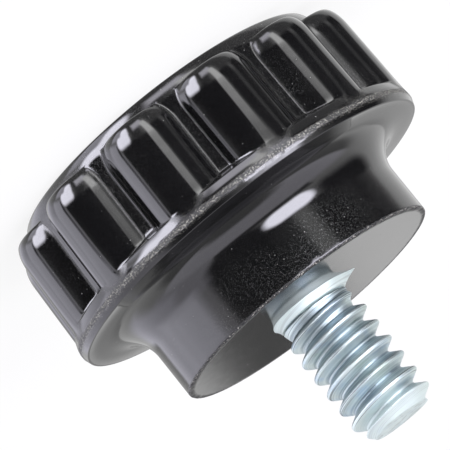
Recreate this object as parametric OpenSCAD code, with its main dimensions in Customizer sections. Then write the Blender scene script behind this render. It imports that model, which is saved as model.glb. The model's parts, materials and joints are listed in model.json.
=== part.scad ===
// Ribbed clamping knob, moulded in one piece round the anchor of a threaded steel stud.
// It stands on its head: the top face lies on z = 0 and the stud points up.

/* [Head] */
// Largest diameter, at the parting line of the flange
head_d = 22.2; // [21:0.1:25]
// Height from the top face to the underside of the flange
head_h = 7.4; // [6.5:0.1:9]
// Depth of the grooves between the ribs, at their feet
groove_depth = 1.3; // [0.6:0.05:1.6]
// Rounding of the edge of the top face
rim_round = 0.25; // [0.1:0.05:0.4]
// Height of the tapered band next to the rim
rim_band_h = 0.6; // [0.3:0.05:0.9]
// Distance that the rim's band tapers in
rim_band_taper = 0.15; // [0.05:0.05:0.3]
// Slope of the wall between the ribs, in degrees
wall_draft = 1.7; // [0.5:0.1:3]

/* [Grip ribs] */
// Number of ribs round the head
rib_count = 12; // [8:1:13]
// Radius of the rounded section of a rib
rib_r = 2.3; // [1.8:0.05:2.6]
// Distance from the top face to the ends of the ribs
rib_drop = 0.7; // [0.4:0.05:1.5]
// Rounding of the end of a rib
rib_round = 0.6; // [0.2:0.05:1]
// Lean of a rib towards the flange, in degrees
rib_draft = 2.3; // [1:0.1:5]
// Distance from the foot of a rib's crest to the flange's top edge
rib_inset = 0.04; // [0.02:0.01:0.2]

/* [Flange] */
// Height of the sloping ledge at the feet of the grooves
ledge_h = 0.4; // [0.2:0.05:0.8]
// Height of the steep shoulder between the ledge and the strip
shoulder_h = 0.5; // [0.2:0.05:0.7]
// Slope of the shoulder, in degrees
shoulder_draft = 20; // [10:1:30]
// Height of the strip where the flash was ground off
strip_h = 0.35; // [0.2:0.05:0.6]
// Height of the tapered band between the strip and the underside
band_h = 0.35; // [0.2:0.05:0.8]
// Distance that the band tapers in
band_taper = 0.2; // [0.05:0.05:0.4]

/* [Hub] */
// Diameter of the hub
hub_d = 15.9; // [13:0.1:17]
// Height of the hub, from the underside of the flange to the hub face
hub_h = 4.8; // [3:0.1:8]
// Radius of the fillet between the hub and the flange
hub_fillet = 2; // [0.5:0.1:2.2]
// Rounding of the edge of the hub face
hub_round = 0.2; // [0.1:0.05:0.5]

/* [Stud] */
// Diameter over the crests of the thread
stud_d = 4.7; // [4.3:0.05:4.9]
// Length that stands out of the hub face
stud_l = 7.9; // [5:0.1:25]
// Chamfer at the tip
tip_chamfer = 0.7; // [0.3:0.05:1.2]
// Diameter of the flared collar where it sits on the hub face
collar_d = 5.1; // [4.5:0.05:6.5]
// Height of the flared collar above the hub face
collar_h = 0.45; // [0.2:0.05:1]
// Depth to which the collar is moulded into the hub
collar_seat = 0.6; // [0.2:0.1:2]
// Diameter of the plain shank, inside the moulding and at the neck of the collar
shank_d = 4.1; // [3.5:0.05:4.2]

/* [Anchor] */
// Distance from the hub face to the anchor head
shank_l = 4.8; // [3:0.1:6]
// Width across the flats of the anchor head
anchor_af = 7.9; // [6:0.1:9]
// Height of the anchor head
anchor_h = 3; // [1.5:0.1:3.5]

/* [Hidden] */
$fn = 96;
// Length by which a cut runs past the face that it opens, and a joined shape into its neighbour
overrun = 1;
head_r = head_d / 2;
hub_r = hub_d / 2;
stud_r = stud_d / 2;
collar_r = collar_d / 2;
shank_r = shank_d / 2;
// Smallest flat width that the fillet leaves on the underside of the flange
under_land = 0.3;
under_r = head_r - band_taper;
fillet_r = min(hub_fillet, under_r - under_land - hub_r);
// Heights of the flange's top edge, the foot of its shoulder, the feet of the grooves and the hub face
edge_z = head_h - band_h - strip_h;
shoulder_z = edge_z - shoulder_h;
foot_z = shoulder_z - ledge_h;
hub_z = head_h + hub_h;
shoulder_r = head_r - shoulder_h * tan(shoulder_draft);
// The wall leans in from the feet of the grooves to the band next to the rim
foot_r = head_r - groove_depth;
rim_band_z = rim_round + rim_band_h;
rim_band_r = foot_r - (foot_z - rim_band_z) * tan(wall_draft);
rim_r = rim_band_r - rim_band_taper;
// The crest of a rib runs down to the flange's top edge, so the rib's own axis starts here
rib_axis_r = head_r - rib_inset - rib_r / cos(rib_draft) - (edge_z - rib_drop) * tan(rib_draft);
// Heights of the foot of the anchor head and the foot of the collar
anchor_z = hub_z - shank_l - anchor_h;
seat_z = hub_z - collar_seat;
// The thread starts at the neck of the collar and widens at 45 degrees
neck_z = hub_z + collar_h;
crest_z = neck_z + stud_r - shank_r;
tip_z = hub_z + stud_l;

// Half of a round bar with one rounded end at y = 0, to be turned about the Y axis
module bar_profile(r, length, end_round) {
    translate([r - end_round, end_round]) circle(end_round);
    square([r - end_round, length]);
    translate([0, end_round]) square([r, length - end_round]);
}

// One rib: a leaning round bar cut off level with the flange's top edge, of which the head leaves
// only the outer part to be seen
module rib() {
    intersection() {
        translate([rib_axis_r, 0, rib_drop])
            rotate([0, rib_draft, 0])
                rotate_extrude() bar_profile(rib_r, head_h, rib_round);
        cylinder(r = head_d, h = edge_z);
    }
}

// The ring of ribs
module ribs() {
    for (i = [0 : rib_count - 1]) rotate(i * 360 / rib_count) rib();
}

// Section of the head without its ribs, from the rounded rim to the underside
module head_profile() {
    translate([rim_r - rim_round, rim_round]) circle(rim_round);
    polygon([
        [0, 0],
        [rim_r - rim_round, 0],
        [rim_r - rim_round, rim_round],
        [rim_r, rim_round],
        [rim_band_r, rim_band_z],
        [foot_r, foot_z],
        [shoulder_r, shoulder_z],
        [head_r, edge_z],
        [head_r, edge_z + strip_h],
        [under_r, head_h],
        [0, head_h]
    ]);
}

// Fillet in the corner between the hub and the underside of the flange, sunk into both
module fillet_profile() {
    difference() {
        translate([-overrun, -overrun]) square(fillet_r + overrun);
        translate([fillet_r, fillet_r]) circle(fillet_r);
    }
}

// Section of the hub with its rounded edge, from the hub face down into the head
module hub_profile() {
    translate([0, hub_z]) mirror([0, 1]) bar_profile(hub_r, hub_h + overrun, hub_round);
    translate([hub_r, head_h]) fillet_profile();
}

// What the moulding grips: a hexagonal head, and the plain shank that runs from it to the hub face
module anchor() {
    translate([0, 0, anchor_z]) cylinder(d = anchor_af / cos(30), h = anchor_h, $fn = 6);
    translate([0, 0, anchor_z]) cylinder(r = shank_r, h = hub_z - anchor_z);
}

// Section of the stud from the foot of its collar in the hub to its tip
module stud_profile() {
    polygon([
        [0, seat_z],
        [collar_r, seat_z],
        [collar_r, hub_z],
        [shank_r, neck_z],
        [stud_r, crest_z],
        [stud_r, tip_z - tip_chamfer],
        [stud_r - tip_chamfer, tip_z],
        [0, tip_z]
    ]);
}

module knob_body() {
    color("dimgray")
        difference() {
            union() {
                rotate_extrude() {
                    head_profile();
                    hub_profile();
                }
                ribs();
            }
            anchor();
            translate([0, 0, seat_z]) cylinder(r = collar_r, h = collar_seat + overrun);
        }
}

module threaded_stud() {
    color("lightsteelblue") {
        anchor();
        rotate_extrude() stud_profile();
    }
}

knob_body();
threaded_stud();
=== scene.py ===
import json
import math

import bpy
import numpy as np
from mathutils import Matrix, Vector

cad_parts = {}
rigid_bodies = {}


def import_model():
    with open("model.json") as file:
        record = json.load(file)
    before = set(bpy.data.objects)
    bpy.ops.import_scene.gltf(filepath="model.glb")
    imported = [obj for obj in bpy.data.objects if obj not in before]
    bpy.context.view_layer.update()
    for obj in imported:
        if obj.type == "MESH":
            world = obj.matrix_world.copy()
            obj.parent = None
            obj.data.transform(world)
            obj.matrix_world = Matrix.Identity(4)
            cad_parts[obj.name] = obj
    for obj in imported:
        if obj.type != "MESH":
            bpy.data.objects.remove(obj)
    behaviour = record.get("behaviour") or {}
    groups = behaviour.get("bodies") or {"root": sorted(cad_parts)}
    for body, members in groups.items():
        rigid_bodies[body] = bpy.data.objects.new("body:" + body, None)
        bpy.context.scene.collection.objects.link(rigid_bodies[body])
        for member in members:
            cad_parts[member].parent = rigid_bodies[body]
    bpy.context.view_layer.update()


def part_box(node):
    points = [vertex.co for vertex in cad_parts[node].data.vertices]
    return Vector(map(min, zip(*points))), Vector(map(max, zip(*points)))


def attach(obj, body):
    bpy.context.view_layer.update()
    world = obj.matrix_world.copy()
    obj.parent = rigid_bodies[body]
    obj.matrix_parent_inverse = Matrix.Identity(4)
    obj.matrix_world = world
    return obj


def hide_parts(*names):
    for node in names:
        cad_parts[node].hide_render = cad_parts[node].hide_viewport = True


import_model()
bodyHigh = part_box("knob_body")[1]
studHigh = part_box("threaded_stud")[1]
mm = 0.001
headRadius = bodyHigh.x / mm    # 11.1, at the parting line
hubTop = bodyHigh.z / mm    # 12.2, the face that the stud stands on
studTip = studHigh.z / mm    # 20.1
print("frame loaded: head radius %.2f, hub face %.2f, tip %.2f mm" % (headRadius, hubTop, studTip))

scene = bpy.context.scene
scene.view_settings.view_transform = "Standard"


# general helpers

def smoothMax(a, b, blend):    # the larger of two lengths, with a fillet between
    return 0.5 * (a + b + np.sqrt((a - b) ** 2 + blend ** 2))


def smoothMin(a, b, blend):    # the smaller of two lengths, with the corner rounded off
    return -smoothMax(-a, -b, blend)


def smoothStep(low, high, x):    # 0 below low, 1 above high, an S curve between
    t = np.clip((x - low) / (high - low), 0, 1)
    return t * t * (3 - 2 * t)


def ripple(angle, waves, seed):    # rough line round a circle: whole waves of random size and phase
    rng = np.random.default_rng(seed)
    counts = np.arange(waves[0], waves[1])
    sizes = rng.normal(size=counts.size)
    phases = rng.uniform(0, 2 * np.pi, counts.size)
    total = np.sin(np.multiply.outer(angle, counts) + phases) @ sizes
    return total / np.sqrt(0.5 * counts.size)


def arc(centre, radius, start, end, count):    # points (r, z) on an arc of the section, angles in degrees
    t = np.radians(np.linspace(start, end, count))
    return np.stack([centre[0] + radius * np.cos(t), centre[1] + radius * np.sin(t)], axis=1)


def closedGrid(name, points):
    # points[row, column] in mm, the columns closing on themselves round the axis. The first and last
    # rows shrink to one point each, so the skin is a closed one, with its faces outwards when the rows
    # run from the top face round the outside to the tip.
    rows, columns = points.shape[:2]
    inner = points[1:-1].reshape(-1, 3)
    poles = np.stack([points[0].mean(axis=0), points[-1].mean(axis=0)])
    vertices = np.concatenate([inner, poles]) * mm
    step = np.arange(columns)
    after = (step + 1) % columns
    ring = np.arange(rows - 3)[:, None] * columns
    quads = np.stack([ring + step, ring + after, ring + columns + after, ring + columns + step], axis=-1)
    last = (rows - 3) * columns
    firstPole, lastPole = len(inner), len(inner) + 1
    firstFan = np.stack([np.full(columns, firstPole), after, step], axis=-1)
    lastFan = np.stack([np.full(columns, lastPole), last + step, last + after], axis=-1)
    faces = quads.reshape(-1, 4).tolist() + firstFan.tolist() + lastFan.tolist()
    mesh = bpy.data.meshes.new(name)
    mesh.from_pydata(vertices.tolist(), [], faces)
    mesh.polygons.foreach_set("use_smooth", np.ones(len(mesh.polygons), dtype=bool))
    mesh.update()
    piece = bpy.data.objects.new(name, mesh)
    scene.collection.objects.link(piece)
    return piece


def paint(piece, name, values):    # one number, or three, for each point of closedGrid's grid
    size = values.shape[2:]
    inner = values[1:-1].reshape(-1, *size)
    poles = np.stack([values[0].mean(axis=0), values[-1].mean(axis=0)])
    kind, field = ("FLOAT_VECTOR", "vector") if size else ("FLOAT", "value")
    layer = piece.data.attributes.new(name, kind, "POINT")
    layer.data.foreach_set(field, np.concatenate([inner, poles]).astype(np.float32).ravel())


# knob body

knob = {
    "ribCount": 12,
    "ribRadius": 2.3,    # round section of a rib
    "ribDrop": 0.7,    # top face to the ends of the ribs
    "ribRound": 0.5,    # rounding of its end, across the rib
    "ribRoundLong": 1.3,    # and along it
    "ribLean": 1.9,    # degrees, outwards to the flange
    "ribInset": -0.04,    # negative: the crest runs out into the flange above its edge
    "ribBlend": 0.1,    # fillet between a rib and its groove
    "creaseWide": 0.1,    # residue in it
    "creaseFrom": 0.4,    # where it starts, past the end of the rib
    "endSlope": 0.04,    # the flat end of a rib rises this much
    "grooveDepth": 1.3,
    "wallLean": 1.7,    # degrees
    "rimRound": 0.25,
    "rimTurn": 32,    # degrees, slope at which the rim's rounding meets the band
    "rimBandHigh": 0.7,    # bulging band next to the rim
    "rimBandTaper": 0.16,
    "ledgeHigh": 0.4,
    "ledgeBlend": 0.16,
    "shoulderHigh": 0.5,    # steep part of the flange between the ledge and the strip
    "shoulderLean": 20,    # degrees
    "shoulderBlend": 0.06,
    "edgeBlend": 0.05,
    "stripHigh": 0.33,    # where the flash was ground off
    "stripRough": 0.012,
    "stripWaves": (30, 240),    # round the knob
    "stripFadeIn": (0.02, 0.1),    # from its two edges
    "stripFadeOut": (0.04, -0.02),
    "bandStep": 0.002,    # the strip stands proud of the band
    "bandHigh": 0.37,
    "bandTaper": 0.139,
    "headHigh": 7.4,
    "underTurn": 6,    # degrees, slope at which the dished underside meets the fillet
    "hubRadius": 7.91,
    "hubFillet": 2.0,
    "hubRound": 0.11,
    "hubRough": 0.014,    # ragged edge of the hub face
    "hubWaves": (20, 220),
    "hubChipDown": 0.05,    # its middle under the face, its half height and how far in it goes
    "hubChipHigh": 0.06,
    "hubChipIn": 0.3,
    "dustEverywhere": 0.32,
    "dustOnHub": 0.9,
    "hubDustFade": (-0.8, 0.6),    # from the top of the fillet
    "grooveDustFrom": 0.3,    # depth under the flange's radius
    "seatRadius": 2.2,
    "seatDeep": 0.3,
    "columnShares": (0, 0.68, 0.9, 1),    # of half a rib's columns, closer where it meets the groove
    "columnAngles": (0, 11.6, 13.3, 15),    # degrees from its middle
    "columnsPerRib": 44,
}


def knobColumns():    # angles round the axis, with a rib on +X
    half = knob["columnsPerRib"] // 2
    share = np.arange(-half, half) / half
    inRib = np.sign(share) * np.interp(np.abs(share), knob["columnShares"], knob["columnAngles"])
    ribs = np.arange(knob["ribCount"]) * 360 / knob["ribCount"]
    return np.radians((ribs[:, None] + inRib).ravel())


def flangeHeights():    # top edge of the flange, foot of its shoulder, feet of the grooves
    edge = knob["headHigh"] - knob["bandHigh"] - knob["stripHigh"]
    shoulder = edge - knob["shoulderHigh"]
    return edge, shoulder, shoulder - knob["ledgeHigh"]


def grooveFloor(z):
    # r = leaning wall less a parabola in the band next to the rim, then the ledge and the shoulder
    edge, shoulderFoot, foot = flangeHeights()
    footRadius = headRadius - knob["grooveDepth"]
    wall = footRadius + (z - foot) * math.tan(math.radians(knob["wallLean"]))
    inBand = np.maximum(1 - (z - knob["rimRound"]) / knob["rimBandHigh"], 0)
    wall = wall - knob["rimBandTaper"] * inBand ** 2
    shoulder = headRadius - (edge - z) * math.tan(math.radians(knob["shoulderLean"]))
    shoulderRadius = headRadius - (edge - shoulderFoot) * math.tan(math.radians(knob["shoulderLean"]))
    ledge = footRadius + (z - foot) * (shoulderRadius - footRadius) / knob["ledgeHigh"]
    return smoothMax(wall, smoothMin(ledge, shoulder, knob["shoulderBlend"]), knob["ledgeBlend"])


def knobWall(z, section, angle):
    # The wall's radius at height z: the larger of the grooves' floor and of a leaning round bar,
    #   bar = c cos f + sqrt(q^2 - c^2 sin^2 f),
    # where f is the angle from the rib's middle, c the distance of the bar's axis and q its radius.
    # The flange's radius limits both.
    pitch = 2 * np.pi / knob["ribCount"]
    off = (angle + pitch / 2) % pitch - pitch / 2
    lean = math.tan(math.radians(knob["ribLean"]))
    edge = flangeHeights()[0]
    barFoot = headRadius - knob["ribInset"] - knob["ribRadius"] / math.cos(math.radians(knob["ribLean"]))
    axis = (barFoot - (edge - z) * lean)[:, None]
    reach = np.maximum(section[:, None] ** 2 - (axis * np.sin(off)) ** 2, 0)
    bar = axis * np.cos(off) + np.sqrt(reach)
    floor = grooveFloor(z)[:, None]
    ribbed = smoothMax(floor, bar, knob["ribBlend"])
    pastEnd = (z > knob["ribDrop"] + knob["creaseFrom"])[:, None]
    crease = np.exp(-((floor - bar) / knob["creaseWide"]) ** 2) * pastEnd
    return smoothMin(ribbed, headRadius, knob["edgeBlend"]), crease


def knobPoints():
    # Rows (r, z) from the middle of the top face to the seat of the stud, closer where the section bends,
    # each carried round the axis as (r cos a, r sin a, z).
    angle = knobColumns()
    edge, shoulderFoot, foot = flangeHeights()
    rimTurn = math.radians(knob["rimTurn"])
    rimStart = knob["rimRound"] * (1 - math.sin(rimTurn))
    rimFlat = grooveFloor(rimStart) - knob["rimRound"] * math.cos(rimTurn)

    # top face and its rounded rim
    topFace = np.stack([rimFlat * np.array([0, 0.4, 0.8, 0.97, 0.995]), np.zeros(5)], axis=1)
    rimArc = arc((rimFlat, knob["rimRound"]), knob["rimRound"], -90, -knob["rimTurn"], 7)
    top = np.concatenate([topFace, rimArc])

    # ribbed wall: the band next to the rim, the bars' ends, their rounding, their sides, ledge and shoulder
    rimHigh = np.linspace(rimStart, knob["ribDrop"], 10)[1:-1]
    ends = np.linspace(0, 1, 8)
    flatSection = (knob["ribRadius"] - knob["ribRound"]) * (0.7 + 0.3 * ends)
    flatHigh = knob["ribDrop"] + knob["endSlope"] * ends
    turn = np.radians(np.linspace(9, 90, 16))
    roundSection = knob["ribRadius"] - knob["ribRound"] * (1 - np.sin(turn))
    roundHigh = flatHigh[-1] + knob["ribRoundLong"] * (1 - np.cos(turn))
    ledgeFrom = foot - 0.3
    bendFrom, bendTo = shoulderFoot - 0.06, shoulderFoot + 0.08
    sideHigh = np.linspace(roundHigh[-1], ledgeFrom, 14)[1:]
    ledgeHigh = np.linspace(ledgeFrom, bendFrom, 16)[1:]
    shoulderHigh = np.linspace(bendFrom, bendTo, 8)[1:]
    edgeHigh = np.linspace(bendTo, edge + 0.05, 9)[1:]
    wallHigh = np.concatenate([rimHigh, flatHigh, roundHigh, sideHigh, ledgeHigh, shoulderHigh,
                               edgeHigh])
    section = np.concatenate([np.zeros(len(rimHigh)), flatSection, roundSection])
    section = np.concatenate([section, np.full(len(wallHigh) - len(section), knob["ribRadius"])])
    wall, wallCrease = knobWall(wallHigh, section, angle)

    # ground strip, band, underside, fillet, hub and the seat of the stud
    stripTop = edge + knob["stripHigh"]
    strip = np.stack([np.full(5, headRadius), np.linspace(edge + 0.12, stripTop - 0.005, 5)], axis=1)
    under = headRadius - knob["bandTaper"]
    bandShare = np.array([0, 0.03, 0.5, 0.9, 0.97])
    bandRadius = headRadius - knob["bandStep"] - (knob["bandTaper"] - knob["bandStep"]) * bandShare
    band = np.stack([bandRadius, stripTop + knob["bandHigh"] * bandShare], axis=1)
    hub = knob["hubRadius"]
    # the underside rises as a parabola to the toe of the fillet, which starts at the same slope
    underTurn = math.radians(knob["underTurn"])
    filletMiddle = hub + knob["hubFillet"]
    toe = filletMiddle - knob["hubFillet"] * math.sin(underTurn)
    rise = 0.5 * (under - toe) * math.tan(underTurn)
    filletTop = knob["headHigh"] + rise + knob["hubFillet"] * math.cos(underTurn)
    dish = np.array([0.02, 0.1, 0.25, 0.4, 0.6, 0.8])
    flat = np.stack([under - (under - toe) * dish, knob["headHigh"] + rise * dish ** 2], axis=1)
    fillet = arc((filletMiddle, filletTop), knob["hubFillet"], -90 - knob["underTurn"], -180, 19)
    wallShare = np.array([0.04, 0.3, 0.6, 0.9, 0.98])
    hubWallHigh = filletTop + (hubTop - knob["hubRound"] - filletTop) * wallShare
    hubWall = np.stack([np.full(5, hub), hubWallHigh], axis=1)
    hubEdge = arc((hub - knob["hubRound"], hubTop - knob["hubRound"]), knob["hubRound"], 0, 90, 7)
    faceShare = [0.01, 0.05, 0.3, 0.6, 0.9, 0.985, 1]
    faceRadius = np.interp(faceShare, [0, 1], [hub - knob["hubRound"], knob["seatRadius"]])
    face = np.stack([faceRadius, np.full(7, hubTop)], axis=1)
    seatTop = hubTop - knob["seatDeep"]
    seat = np.array([[knob["seatRadius"], hubTop - 0.02], [knob["seatRadius"], seatTop],
                     [0.5 * knob["seatRadius"], seatTop], [0, seatTop]])
    hubPart = np.concatenate([strip, band, flat, fillet, hubWall, hubEdge, face, seat])

    radius = np.concatenate([np.repeat(top[:, :1], len(angle), axis=1), wall,
                             np.repeat(hubPart[:, :1], len(angle), axis=1)])
    height = np.concatenate([top[:, 1], wallHigh, hubPart[:, 1]])

    # rough ground strip and the slightly ragged edge of the hub face, both cut inwards only
    fadeIn, fadeOut = knob["stripFadeIn"], knob["stripFadeOut"]
    onStrip = smoothStep(edge + fadeIn[0], edge + fadeIn[1], height)
    onStrip = onStrip * smoothStep(stripTop + fadeOut[0], stripTop + fadeOut[1], height)
    onEdge = np.exp(-((height - hubTop + knob["hubChipDown"]) / knob["hubChipHigh"]) ** 2)
    onEdge = onEdge * (radius[:, 0] > hub - knob["hubChipIn"])
    grind = np.stack([np.abs(ripple(angle, knob["stripWaves"], 11 + row)) for row in range(len(height))])
    ragged = np.abs(ripple(angle, knob["hubWaves"], 5))
    # dust lies in the grooves, on the top face as thick as there, and on the hub's wall
    onHub = smoothStep(filletTop + knob["hubDustFade"][0], filletTop + knob["hubDustFade"][1], height)
    onHub = onHub * (radius[:, 0] > hub - 0.02)    # not on its face
    inGroove = np.clip((headRadius - knob["grooveDustFrom"] - radius) / knob["grooveDepth"], 0, 1)
    inGroove = inGroove * (height < edge)[:, None]
    dust = np.maximum(knob["dustEverywhere"] + inGroove, knob["dustOnHub"] * onHub[:, None])
    crease = np.zeros(radius.shape)
    crease[len(top):len(top) + len(wallHigh)] = wallCrease
    onFace = smoothStep(hubTop - 0.02, hubTop, height)

    radius = radius - onStrip[:, None] * knob["stripRough"] * grind
    radius = radius - onEdge[:, None] * knob["hubRough"] * ragged
    points = np.stack([radius * np.cos(angle), radius * np.sin(angle),
                       np.repeat(height[:, None], len(angle), axis=1)], axis=-1)
    wide = np.ones(len(angle))
    marks = {
        "groundStrip": onStrip[:, None] * wide,
        "hubEdge": onEdge[:, None] * (0.5 + ragged),
        "dust": dust,
        "crease": crease,
        "hubFace": onFace[:, None] * wide,
    }
    return points, marks


knobGrid, knobMarks = knobPoints()
knobPiece = closedGrid("knobBody", knobGrid)
for markName, markValues in knobMarks.items():
    paint(knobPiece, markName, markValues)
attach(knobPiece, "root")
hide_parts("knob_body")
print("knob body:", len(knobPiece.data.polygons), "faces")


# threaded stud

stud = {
    "crestRadius": 2.34,
    "rootRadius": 1.7,
    "pitch": 1.058,    # 24 turns to the inch
    "crestFlat": 0.16,    # share of the pitch
    "rootFlat": 0.12,
    "crestBlend": 0.1,    # rounding of the thread's corners, as a share of its depth
    "rootBlend": 0.12,
    "crestAhead": 0.127,    # height of the first crest over the hub face, on the side at startAngle
    "startAngle": -99.5,    # degrees round the axis
    "runFrom": 0.5,    # the crests grow from the neck to their full height between these heights
    "runTo": 2.0,
    "runUnder": 0.02,    # they start this much under the neck
    "runSlope": 0.3,    # cone on which the first groove runs out
    "lipRadius": 2.38,    # flared lip on the hub face
    "lipHigh": 0.5,
    "lipCurve": 1.6,    # power that gives its flare
    "lipSwell": 0.06,
    "lipWaves": (2, 6),    # round the stud
    "neckRadius": 2.1,
    "neckCut": 0.05,    # thin cut between the lip and the first turn
    "neckCutWide": 0.04,
    "burrReach": 0.66,    # pointed bit of the lip's edge
    "burrAngle": 164,
    "burrWide": 13,
    "burrCurve": 1.3,
    "tipChamfer": 0.7,
    "tipWave": 0.05,
    "tipWaves": (2, 7),
    "tipBlend": 0.06,
    "tipFrost": (1.0, 0.6),    # the frosted end, paler as a painted highlight, starts this far from the tip and is full at the second
    "foot": 0.25,    # how far the skin goes down into the seat
    "columns": 192,
    "rowsPerPitch": 30,
    "streakTurn": 0.8,    # fine streaks along the thread: size of a turn and of its climb in the noise
    "streakClimb": 0.5,
}


def threadProfile(turn):
    # Radius share over one turn of the thread, 1 on the crest and 0 in the root: straight flanks
    # between a flat crest and a flat root, with the corners rounded.
    place = np.abs((turn + 0.5) % 1 - 0.5)
    crest, root = stud["crestFlat"] / 2, 0.5 - stud["rootFlat"] / 2
    share = (root - place) / (root - crest)
    return smoothMin(smoothMax(share, 0, stud["rootBlend"]), 1, stud["crestBlend"])


def studPoints():
    # r = lip, run-out cone or thread, whichever is largest, cut off by the cone of the tip's chamfer.
    # The thread climbs one pitch for each turn to the left as seen from its tip, a right-hand thread.
    angle = np.radians(np.arange(stud["columns"]) * 360 / stud["columns"])
    length = studTip - hubTop
    threadRows = int(length / stud["pitch"] * stud["rowsPerPitch"])
    high = np.concatenate([[-stud["foot"], -0.1], np.linspace(0, length - 0.001, threadRows)])[:, None]
    start = math.radians(stud["startAngle"])
    turn = (high - stud["crestAhead"]) / stud["pitch"] - (angle - start) / (2 * np.pi)
    share = threadProfile(turn)
    grown = smoothStep(stud["runFrom"], stud["runTo"], high)
    firstCrest = stud["neckRadius"] - stud["runUnder"]
    crest = firstCrest + (stud["crestRadius"] - firstCrest) * grown
    thread = crest - (stud["crestRadius"] - stud["rootRadius"]) * (1 - share)
    runOut = stud["neckRadius"] - (high - stud["lipHigh"]) * stud["runSlope"]
    away = np.degrees((angle - math.radians(stud["burrAngle"]) + np.pi) % (2 * np.pi) - np.pi)
    flare = stud["lipRadius"] - stud["neckRadius"] + stud["lipSwell"] * ripple(angle, stud["lipWaves"], 8)
    flare = flare + stud["burrReach"] * np.exp(-np.abs(away / stud["burrWide"]) ** stud["burrCurve"])
    rise = np.clip(1 - high / stud["lipHigh"], 0, 1)
    lip = stud["neckRadius"] + flare * rise ** stud["lipCurve"]
    onLip = smoothStep(stud["lipHigh"] + 0.05, stud["lipHigh"] - 0.05, high)
    body = np.maximum(thread * (1 - onLip), np.maximum(runOut * (1 - onLip), lip * onLip))
    cut = np.exp(-((high - stud["lipHigh"]) / stud["neckCutWide"]) ** 2)
    body = body - stud["neckCut"] * cut
    uneven = stud["tipWave"] * ripple(angle, stud["tipWaves"], 3)
    cone = stud["crestRadius"] - stud["tipChamfer"] + uneven + length - high
    radius = smoothMin(body, cone, stud["tipBlend"])
    radius = np.concatenate([np.minimum(radius[:2], knob["seatRadius"] - 0.03), radius[2:]])
    tipShare = np.array([0.97, 0.8, 0.4, 0])    # rows of the tip's face
    tipRows = len(tipShare)
    tip = radius[-1] * tipShare[:, None]
    radius = np.concatenate([np.zeros((1, len(angle))), radius, tip])
    height = np.concatenate([high[:1, 0], high[:, 0], np.full(tipRows, length)]) + hubTop
    points = np.stack([radius * np.cos(angle), radius * np.sin(angle),
                       np.repeat(height[:, None], len(angle), axis=1)], axis=-1)

    # depth in the groove, which sets the painted shade towards the roots, and a place in noise space that
    # runs along the thread without a seam
    depth = np.clip((crest - body) / (stud["crestRadius"] - stud["rootRadius"]), 0, 1) + cut
    depth = np.concatenate([depth[:1], depth, np.zeros((tipRows, len(angle)))])
    below = -((turn + 0.5) % 1 - 0.5)    # share of a pitch from the crest to the hub's side
    # mask of painted shade on the flanks that face the hub
    flank = smoothStep(0.02, 0.12, below) * smoothStep(0.5, 0.4, below) * (1 - onLip)
    flank = np.concatenate([flank[:1], flank, np.zeros((tipRows, len(angle)))])
    frostFrom, frostFull = stud["tipFrost"]
    # the lip and the tip: frosted plating, rougher, and paler as a painted highlight
    frostAndHighlight = np.maximum(smoothStep(length - frostFrom, length - frostFull, high), onLip)
    frostAndHighlight = np.concatenate([frostAndHighlight[:1], frostAndHighlight, np.ones((tipRows, 1))]) * np.ones(len(angle))
    turn = np.concatenate([turn[:1], turn, np.repeat(turn[-1:], tipRows, axis=0)])
    reach = stud["streakTurn"] * np.concatenate([np.ones(len(high) + 1), tipShare])[:, None]
    streak = np.stack([reach * np.cos(2 * np.pi * turn), reach * np.sin(2 * np.pi * turn),
                       stud["streakClimb"] * points[..., 2]], axis=-1)
    return points, {"grooveDepth": depth, "hubFlank": flank, "frostAndHighlight": frostAndHighlight, "streak": streak}


studGrid, studMarks = studPoints()
studPiece = closedGrid("threadedStud", studGrid)
for markName, markValues in studMarks.items():
    paint(studPiece, markName, markValues)
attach(studPiece, "root")
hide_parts("threaded_stud")
print("stud:", len(studPiece.data.polygons), "faces")


# node helpers

def feed(tree, socket, value):    # a link or a constant
    if isinstance(value, bpy.types.NodeSocket):
        tree.links.new(value, socket)
    else:
        socket.default_value = value


def calc(tree, operation, *values):
    node = tree.nodes.new("ShaderNodeMath")
    node.operation = operation
    for socket, value in zip(node.inputs, values):
        feed(tree, socket, value)
    return node.outputs[0]


def ramp(tree, value, low, high, first=0.0, last=1.0):    # an S curve from first at low to last at high
    node = tree.nodes.new("ShaderNodeMapRange")
    node.interpolation_type = "SMOOTHSTEP"
    feed(tree, node.inputs["Value"], value)
    for key, amount in (("From Min", low), ("From Max", high), ("To Min", first), ("To Max", last)):
        node.inputs[key].default_value = amount
    return node.outputs["Result"]


def blend(tree, share, first, second):    # two colours
    node = tree.nodes.new("ShaderNodeMix")
    node.data_type = "RGBA"
    feed(tree, node.inputs[0], share)
    feed(tree, node.inputs[6], first)
    feed(tree, node.inputs[7], second)
    return node.outputs[2]


def painted(tree, name):
    node = tree.nodes.new("ShaderNodeAttribute")
    node.attribute_name = name
    return node


def cloud(tree, place, scale, detail):    # soft noise
    node = tree.nodes.new("ShaderNodeTexNoise")
    feed(tree, node.inputs["Vector"], place)
    node.inputs["Scale"].default_value = scale
    node.inputs["Detail"].default_value = detail
    return node.outputs[0]


def specks(tree, place, cell, size, share):
    # Round grains, one in each cell of a Voronoi pattern whose random number is under the share.
    node = tree.nodes.new("ShaderNodeTexVoronoi")
    feed(tree, node.inputs["Vector"], place)
    node.inputs["Scale"].default_value = 1 / (cell * mm)
    split = tree.nodes.new("ShaderNodeSeparateColor")
    tree.links.new(node.outputs["Color"], split.inputs[0])
    grain = ramp(tree, node.outputs["Distance"], size, 0.3 * size)
    chosen = calc(tree, "LESS_THAN", split.outputs[0], share)
    return calc(tree, "MULTIPLY", calc(tree, "MULTIPLY", grain, chosen), split.outputs[1])


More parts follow.
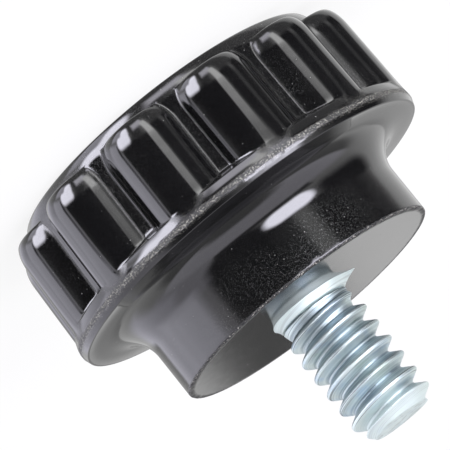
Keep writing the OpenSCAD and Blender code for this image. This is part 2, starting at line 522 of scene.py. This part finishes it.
def bumps(tree, height, size, under=None):    # size in mm at a height of 1, on top of the bumps under it
    node = tree.nodes.new("ShaderNodeBump")
    node.inputs["Strength"].default_value = 1
    node.inputs["Distance"].default_value = size * mm
    tree.links.new(height, node.inputs["Height"])
    if under:
        tree.links.new(under, node.inputs["Normal"])
    return node.outputs[0]


def newMaterial(name):
    material = bpy.data.materials.new(name)
    material.use_nodes = True
    return material, material.node_tree, material.node_tree.nodes["Principled BSDF"]


# finishes

blackLook = {
    "colour": (0.0025, 0.0025, 0.0028, 1),
    "rough": 0.07,
    "ior": 1.63,
    "peelSize": 0.9,    # mm between the swells of the moulded surface
    "peelHigh": 0.0018,    # mm
    "dustColour": (0.25, 0.25, 0.228, 1),
    "dustRough": 0.8,
    "dustClumps": 330,    # in a metre, and how much thicker or thinner it lies there
    "clumpShare": (0.4, 1.6),
    "filmGrain": 0.045,    # mm, film of the finest dust
    "filmShare": 0.16,
    "fineDust": (0.22, 0.15, 0.22),    # mm between grains, their size as a share of it, share of them kept
    "coarseDust": (0.7, 0.07, 0.45),
    "creaseColour": (0.045, 0.045, 0.037, 1),    # dull residue beside the ribs
    "creaseRough": 0.3,
    "stripDark": (0.012, 0.012, 0.011, 1),    # ground strip at the parting line
    "stripPale": (0.24, 0.235, 0.2, 1),
    "stripGrain": 0.085,    # mm, and the range of noise between dark and pale
    "grainRange": (0.5, 0.64),
    "stripRough": 0.5,
    "chipGlintColour": (0.3, 0.29, 0.26, 1),    # chipped edge of the hub face, its pale grainy specks painted glints
    "edgeRough": 0.7,
    "chipRange": (0.4, 1.2),
    "faceRough": 0.05,    # the hub face is less glossy than the rest
}


def blackMoulding():
    material, tree, shader = newMaterial("blackMoulding")
    place = tree.nodes.new("ShaderNodeTexCoord").outputs["Object"]
    clumps = cloud(tree, place, blackLook["dustClumps"], 2)
    clumps = ramp(tree, clumps, 0.3, 0.7, *blackLook["clumpShare"])
    density = calc(tree, "MULTIPLY", painted(tree, "dust").outputs["Fac"], clumps)
    film = cloud(tree, place, 1 / (blackLook["filmGrain"] * mm), 1)
    film = ramp(tree, film, 0.5, 0.8, 0, blackLook["filmShare"])
    dust = calc(tree, "MULTIPLY", film, density)
    for cell, size, share in (blackLook["fineDust"], blackLook["coarseDust"]):
        layer = specks(tree, place, cell, size, calc(tree, "MULTIPLY", density, share))
        dust = calc(tree, "MAXIMUM", dust, layer)
    strip = painted(tree, "groundStrip").outputs["Fac"]
    grain = cloud(tree, place, 1 / (blackLook["stripGrain"] * mm), 3)
    grain = ramp(tree, grain, *blackLook["grainRange"])
    stripColour = blend(tree, grain, blackLook["stripDark"], blackLook["stripPale"])
    hubEdge = painted(tree, "hubEdge").outputs["Fac"]
    hubFace = painted(tree, "hubFace").outputs["Fac"]
    # painted glints: pale grains on the chipped, ragged edge of the hub face
    chipGlints = ramp(tree, calc(tree, "MULTIPLY", hubEdge, grain), *blackLook["chipRange"])
    colour = blend(tree, dust, blackLook["colour"], blackLook["dustColour"])
    crease = painted(tree, "crease").outputs["Fac"]
    colour = blend(tree, calc(tree, "MULTIPLY", crease, grain), colour, blackLook["creaseColour"])
    colour = blend(tree, strip, colour, stripColour)
    colour = blend(tree, chipGlints, colour, blackLook["chipGlintColour"])
    tree.links.new(colour, shader.inputs["Base Color"])
    rough = calc(tree, "MULTIPLY_ADD", dust, blackLook["dustRough"], blackLook["rough"])
    rough = calc(tree, "MULTIPLY_ADD", strip, blackLook["stripRough"], rough)
    rough = calc(tree, "MULTIPLY_ADD", crease, blackLook["creaseRough"], rough)
    rough = calc(tree, "MULTIPLY_ADD", hubEdge, blackLook["edgeRough"], rough)
    rough = calc(tree, "MULTIPLY_ADD", hubFace, blackLook["faceRough"], rough)
    tree.links.new(rough, shader.inputs["Roughness"])
    shader.inputs["IOR"].default_value = blackLook["ior"]
    peel = bumps(tree, cloud(tree, place, 1 / (blackLook["peelSize"] * mm), 1), blackLook["peelHigh"])
    tree.links.new(peel, shader.inputs["Normal"])
    return material


zincLook = {
    "pale": (0.52, 0.6, 0.59, 1),
    "blue": (0.42, 0.53, 0.6, 1),
    "green": (0.45, 0.54, 0.49, 1),
    "paintedShade": (0.24, 0.3, 0.335, 1),    # painted shade, deepening towards the roots of the thread and on the flanks that face the hub
    "frostAndHighlight": (0.7, 0.77, 0.74, 1),    # in fine streaks, and on the lip and the tip as a painted highlight on their frosted plating
    "scratch": (0.13, 0.15, 0.155, 1),    # dark lines along the crests
    "tintClumps": 700,    # in a metre
    "streakCount": 2.6,    # scale of the streaks and of the scratches along the thread
    "scratchCount": 4.5,
    "streakShare": 0.6,
    "scratchShare": 0.85,
    "frostShare": 0.7,
    "rough": 0.45,
    "roughMore": 0.15,
    "frostRough": 0.25,
    "streakHigh": 0.016,    # mm
    "grainSize": 0.07,    # mm, frosted grain of the plating
    "grainHigh": 0.006,
}


def zincPlating():
    material, tree, shader = newMaterial("zincPlating")
    place = tree.nodes.new("ShaderNodeTexCoord").outputs["Object"]
    streakPlace = painted(tree, "streak").outputs["Vector"]
    streaks = cloud(tree, streakPlace, zincLook["streakCount"], 3)
    tint = cloud(tree, place, zincLook["tintClumps"], 2)
    colour = blend(tree, ramp(tree, tint, 0.45, 0.7), zincLook["pale"], zincLook["blue"])
    colour = blend(tree, ramp(tree, tint, 0.42, 0.28), colour, zincLook["green"])
    depth = painted(tree, "grooveDepth").outputs["Fac"]
    # painted shade: the colour darkens towards the roots of the thread
    colour = blend(tree, ramp(tree, depth, 0.55, 1.1), colour, zincLook["paintedShade"])
    pale = ramp(tree, streaks, 0.42, 0.6, 0, zincLook["streakShare"])
    colour = blend(tree, pale, colour, zincLook["frostAndHighlight"])
    # painted shade on the flanks that face the hub, broken up by the streaks
    flank = painted(tree, "hubFlank").outputs["Fac"]
    shaded = calc(tree, "MULTIPLY", flank, ramp(tree, streaks, 0.35, 0.65, 0.9, 0.35))
    colour = blend(tree, shaded, colour, zincLook["paintedShade"])
    scratches = cloud(tree, streakPlace, zincLook["scratchCount"], 2)
    scratches = ramp(tree, scratches, 0.52, 0.62, 0, zincLook["scratchShare"])
    scratches = calc(tree, "MULTIPLY", scratches, ramp(tree, depth, 0.5, 0.1))
    colour = blend(tree, scratches, colour, zincLook["scratch"])
    # painted highlight: the lip and the tip are paler, as well as rougher for their frost
    frostAndHighlight = calc(tree, "MULTIPLY", painted(tree, "frostAndHighlight").outputs["Fac"], zincLook["frostShare"])
    colour = blend(tree, frostAndHighlight, colour, zincLook["frostAndHighlight"])
    tree.links.new(colour, shader.inputs["Base Color"])
    rough = ramp(tree, streaks, 0.3, 0.7, zincLook["rough"], zincLook["rough"] + zincLook["roughMore"])
    rough = calc(tree, "MULTIPLY_ADD", frostAndHighlight, zincLook["frostRough"], rough)
    tree.links.new(rough, shader.inputs["Roughness"])
    shader.inputs["Metallic"].default_value = 1
    rolled = bumps(tree, streaks, zincLook["streakHigh"])
    grain = cloud(tree, place, 1 / (zincLook["grainSize"] * mm), 1)
    tree.links.new(bumps(tree, grain, zincLook["grainHigh"], rolled), shader.inputs["Normal"])
    return material


knobPiece.data.materials.append(blackMoulding())
studPiece.data.materials.append(zincPlating())
print("finishes made")


# camera

shot = {
    "azimuth": -9.5,    # degrees from -Y, where a rib lies 9.5 degrees to the right of the middle
    "elevation": 11.3,
    "roll": 141.23,    # the stud points down to the right
    "image": 450,    # pixels
    "hubAt": (308.4, 303.8),    # pixel of the middle of the hub face
    "pixel": 0.0527,    # mm at the hub face
    "focal": 5118,    # pixels
    "sensor": 36,    # mm
    "nearest": 0.01,    # metres
    "farthest": 20,
}


def cameraAxes():
    turn, tilt, roll = (math.radians(shot[key]) for key in ("azimuth", "elevation", "roll"))
    forward = Vector((-math.sin(turn) * math.cos(tilt), math.cos(turn) * math.cos(tilt), -math.sin(tilt)))
    levelRight = Vector((math.cos(turn), math.sin(turn), 0))
    levelUp = levelRight.cross(forward)
    right = levelRight * math.cos(roll) + levelUp * math.sin(roll)
    up = levelUp * math.cos(roll) - levelRight * math.sin(roll)
    return right, up, forward


def makeCamera():
    right, up, forward = cameraAxes()
    across = shot["hubAt"][0] - shot["image"] / 2
    down = shot["hubAt"][1] - shot["image"] / 2
    hubMiddle = Vector((0, 0, hubTop * mm))
    place = hubMiddle - (right * across - up * down + forward * shot["focal"]) * (shot["pixel"] * mm)
    camera = bpy.data.objects.new("camera", bpy.data.cameras.new("camera"))
    camera.data.sensor_width = shot["sensor"]
    camera.data.lens = shot["sensor"] * shot["focal"] / shot["image"]
    camera.data.clip_start = shot["nearest"]
    camera.data.clip_end = shot["farthest"]
    turn = Matrix((right, up, -forward)).transposed().to_4x4()
    camera.matrix_world = Matrix.Translation(place) @ turn
    scene.collection.objects.link(camera)
    scene.camera = camera


makeCamera()
print("camera made")


# studio

studio = {
    "floorSize": 2.0,    # metres
    "floorColour": (0.9, 0.9, 0.9, 1),
    "floorRough": 0.9,
    "floorGlow": 0.85,    # share of plain white that the camera sees
    "plain": (1, 1, 1),
    "cool": (0.97, 0.96, 1.08),
    "violet": (0.98, 0.96, 1.06),
    "tentLight": 1.0,    # white walls of a light tent
    # what stands before the walls: middle and half width of its azimuth from the camera's side, the same
    # of its elevation, radius of its corners and its soft edge, all in degrees, then its light and tint
    "panels": (
        ("top", 0, 180, 90, 38, 0, 5, 0.4, "plain"),
        ("topBack", -160, 35, 62, 26, 0, 6, 0.4, "plain"),
        ("ceiling", -10, 115, 55, 18, 0, 6, 1.6, "violet"),
        ("leftFill", 78, 38, 15, 26, 0, 8, 1.25, "violet"),
        ("leftWall", 118, 32, -2, 34, 0, 8, 1.7, "cool"),
        ("rightWall", -148, 26, 0, 34, 0, 8, 1.15, "plain"),
        ("leftGlow", 92, 26, -6, 10, 0, 9, 2.4, "cool"),
        ("leftPanel", 86, 17, -24, 13, 4, 5, 2.9, "cool"),
        ("ground", 0, 180, -90, 34, 0, 10, 0.4, "plain"),
        ("lowRight", -82, 31, -50, 28, 0, 7, 0.36, "plain"),
        ("lowFront", 0, 15, -42, 22, 0, 6, 0.3, "plain"),
        ("lowLeft", 62, 30, -56, 13, 0, 5, 3.0, "cool"),
        ("hook", -18, 20, -50, 9, 0, 6, 4.6, "violet"),
        ("gapRight", -92, 30, 4, 19, 14, 9, 0.05, "plain"),
        ("gapRightLow", -82, 38, -20, 8, 0, 4, 0.06, "plain"),
        ("gapRightPale", -84, 6, -19, 9, 0, 5, 0.75, "plain"),
        ("gapTop", -14, 52, 34, 4, 0, 3, 0.2, "plain"),
        ("gapFront", 18, 30, 5, 31, 24, 8, 0.06, "plain"),
        ("gapUnder", -35, 55, -7.5, 3, 0, 3, 0.06, "plain"),
        ("gapHub", 8, 42, -11, 4, 0, 7, 0.05, "plain"),
        ("gapLow", 18, 43, -17, 4, 0, 3, 0.05, "plain"),
        ("back", 180, 10, 38, 17, 8, 9, 0.3, "plain"),
        ("behindLeft", 171.5, 6, -5, 29, 0, 1, 0.5, "plain"),
        ("behindRight", -171.5, 6, -5, 29, 0, 1, 0.72, "plain"),
        ("gapBehind", 179.6, 0.8, 11.3, 6, 0, 0.3, 0.06, "plain"),
        ("gapHubRight", -76, 26, -11, 4, 0, 7, 0.06, "plain"),
        ("gapSide", 70, 3, -24, 10, 0, 3, 0.1, "plain"),
        ("hubLeftEnd", 158, 14, -10, 3.5, 0, 4, 0.5, "plain"),
        ("hubPatch", -40, 7, -11, 4, 0, 6, 1.1, "plain"),
        ("strip", -34, 9, -31, 15, 0, 4, 5.4, "plain"),
        ("softboxRight", -34, 24, 11, 16, 14, 4, 12, "cool"),
        ("softboxLow", 36, 15, -50, 14, 10, 5, 11.5, "cool"),
        ("softboxLeft", 45, 22, -35, 12, 9, 4, 11.5, "cool"),
    ),
}


def makeFloor():
    half = studio["floorSize"] / 2
    mesh = bpy.data.meshes.new("floor")
    corners = [(-half, -half, 0), (half, -half, 0), (half, half, 0), (-half, half, 0)]
    mesh.from_pydata(corners, [], [(0, 1, 2, 3)])
    floor = bpy.data.objects.new("floor", mesh)
    scene.collection.objects.link(floor)
    floor.visible_glossy = False    # reflections pass through it to the panels below
    material, tree, shader = newMaterial("paleFloor")
    shader.inputs["Base Color"].default_value = studio["floorColour"]
    shader.inputs["Roughness"].default_value = studio["floorRough"]
    seen = tree.nodes.new("ShaderNodeLightPath").outputs["Is Camera Ray"]
    glow = tree.nodes.new("ShaderNodeEmission")
    mix = tree.nodes.new("ShaderNodeMixShader")
    tree.links.new(calc(tree, "MULTIPLY", seen, studio["floorGlow"]), mix.inputs[0])
    tree.links.new(shader.outputs[0], mix.inputs[1])
    tree.links.new(glow.outputs[0], mix.inputs[2])
    tree.links.new(mix.outputs[0], tree.nodes["Material Output"].inputs["Surface"])
    mesh.materials.append(material)


def makeWorld():
    # The light from each direction, by its azimuth and elevation, is that of the last panel that covers it.
    # With q the distances past the panel's straight sides, the distance from a round-cornered panel is
    #   d = |max(q, 0)| + min(max(qx, qy), 0) - corner.
    world = bpy.data.worlds.new("studio")
    scene.world = world
    world.use_nodes = True
    tree = world.node_tree
    turned = tree.nodes.new("ShaderNodeMapping")
    turned.vector_type = "POINT"
    turned.inputs["Rotation"].default_value = (0, 0, -math.radians(shot["azimuth"]))
    tree.links.new(tree.nodes.new("ShaderNodeTexCoord").outputs["Generated"], turned.inputs["Vector"])
    split = tree.nodes.new("ShaderNodeSeparateXYZ")
    tree.links.new(turned.outputs[0], split.inputs[0])
    toCamera = calc(tree, "MULTIPLY", split.outputs["Y"], -1.0)
    azimuth = calc(tree, "DEGREES", calc(tree, "ARCTAN2", split.outputs["X"], toCamera))
    elevation = calc(tree, "DEGREES", calc(tree, "ARCSINE", split.outputs["Z"]))
    light = (studio["tentLight"], studio["tentLight"], studio["tentLight"], 1)
    for name, turn, halfTurn, rise, halfRise, corner, soft, strength, tint in studio["panels"]:
        aside = calc(tree, "ABSOLUTE", calc(tree, "WRAP", calc(tree, "SUBTRACT", azimuth, turn), 180, -180))
        above = calc(tree, "ABSOLUTE", calc(tree, "SUBTRACT", elevation, rise))
        aside = calc(tree, "SUBTRACT", aside, halfTurn - corner)
        above = calc(tree, "SUBTRACT", above, halfRise - corner)
        asideOut = calc(tree, "MAXIMUM", aside, 0.0)
        aboveOut = calc(tree, "MAXIMUM", above, 0.0)
        squares = calc(tree, "MULTIPLY_ADD", asideOut, asideOut, calc(tree, "MULTIPLY", aboveOut, aboveOut))
        within = calc(tree, "MINIMUM", calc(tree, "MAXIMUM", aside, above), 0.0)
        distance = calc(tree, "ADD", calc(tree, "SQRT", squares), within)
        inside = ramp(tree, distance, corner + soft, corner - soft)
        red, green, blue = studio[tint]
        light = blend(tree, inside, light, (red * strength, green * strength, blue * strength, 1))
        light.node.label = name
    seen = tree.nodes.new("ShaderNodeLightPath").outputs["Is Camera Ray"]
    tree.links.new(blend(tree, seen, light, (1, 1, 1, 1)), tree.nodes["Background"].inputs["Color"])
    tree.nodes["Background"].inputs["Strength"].default_value = 1


makeFloor()
makeWorld()
print("studio made")
